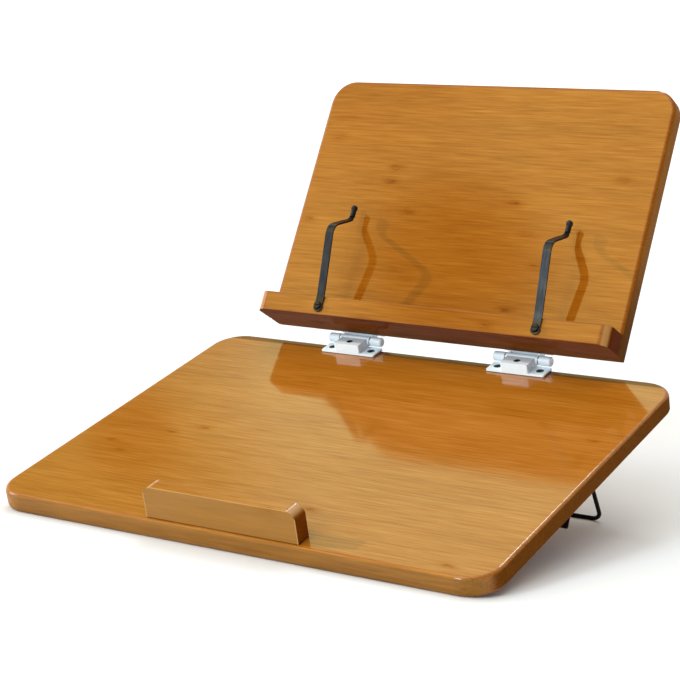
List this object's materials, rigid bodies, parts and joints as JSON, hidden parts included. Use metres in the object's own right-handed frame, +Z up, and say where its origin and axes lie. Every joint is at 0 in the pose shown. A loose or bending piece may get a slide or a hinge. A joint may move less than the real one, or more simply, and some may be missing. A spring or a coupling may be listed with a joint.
{
  "type": "book stand",
  "caption": "Bamboo desk book stand: sloping lower board with a book stop on a folding wire bail, and a hinged upper panel with a ledge and swivelling page clips.",
  "frame": {"origin": "centre of the bounding box on the desk's surface", "axes": "+Z up from the desk, +X to the reader's right, +Y away from the reader"},
  "size_m": [0.42, 0.4054, 0.3262],
  "materials": {
    "bamboo": "carbonised bamboo under clear gloss lacquer",
    "white_metal": "white satin coating on steel",
    "bright_steel": "turned steel",
    "black_screw": "black oxide",
    "black_steel": "black satin coating on steel",
    "spring_steel": "blued spring steel, satin",
    "rubber": "smooth black rubber"
  },
  "bodies": {
    "base": {"lower_board": "bamboo", "book_stop": "bamboo", "stop_screws": "black_screw", "left_hinge_base": "white_metal", "right_hinge_base": "white_metal", "hinge_base_screws": "black_screw", "hinge_adjusters": "black_screw", "left_hinge_pin": "bright_steel", "right_hinge_pin": "bright_steel", "hinge_washers": "bright_steel", "left_hinge_sleeves": "white_metal", "right_hinge_sleeves": "white_metal", "left_bail_bracket": "black_steel", "right_bail_bracket": "black_steel", "bail_bracket_screws": "black_screw", "left_bail_catch": "black_steel", "right_bail_catch": "black_steel", "bail_catch_screws": "black_screw"},
    "panel": {"upper_panel": "bamboo", "upper_ledge": "bamboo", "ledge_screws": "black_screw", "left_hinge_leaf": "white_metal", "right_hinge_leaf": "white_metal", "hinge_leaf_screws": "black_screw", "clip_screws": "black_screw"},
    "left_clip": {"left_page_clip": "spring_steel", "left_clip_tip": "rubber"},
    "right_clip": {"right_page_clip": "spring_steel", "right_clip_tip": "rubber"},
    "bail": {"wire_bail": "black_steel"}
  },
  "joints": [
    {"name": "panel_tilt", "type": "hinge", "parent": "base", "child": "panel", "pos_m": [0, 0.10022, 0.11205], "axis": [1, 0, 0], "range_deg": [-48.1, 45]},
    {"name": "left_clip_swivel", "type": "hinge", "parent": "panel", "child": "left_clip", "pos_m": [-0.1005, 0.07524, 0.14034], "axis": [0, -0.907, 0.421], "range_deg": [-75, 75]},
    {"name": "right_clip_swivel", "type": "hinge", "parent": "panel", "child": "right_clip", "pos_m": [0.1005, 0.07524, 0.14034], "axis": [0, -0.907, 0.421], "range_deg": [-75, 75]},
    {"name": "bail_fold", "type": "hinge", "parent": "base", "child": "bail", "pos_m": [0, 0.02296, 0.06205], "axis": [-1, 0, 0], "range_deg": [0, 107.4]}
  ]
}
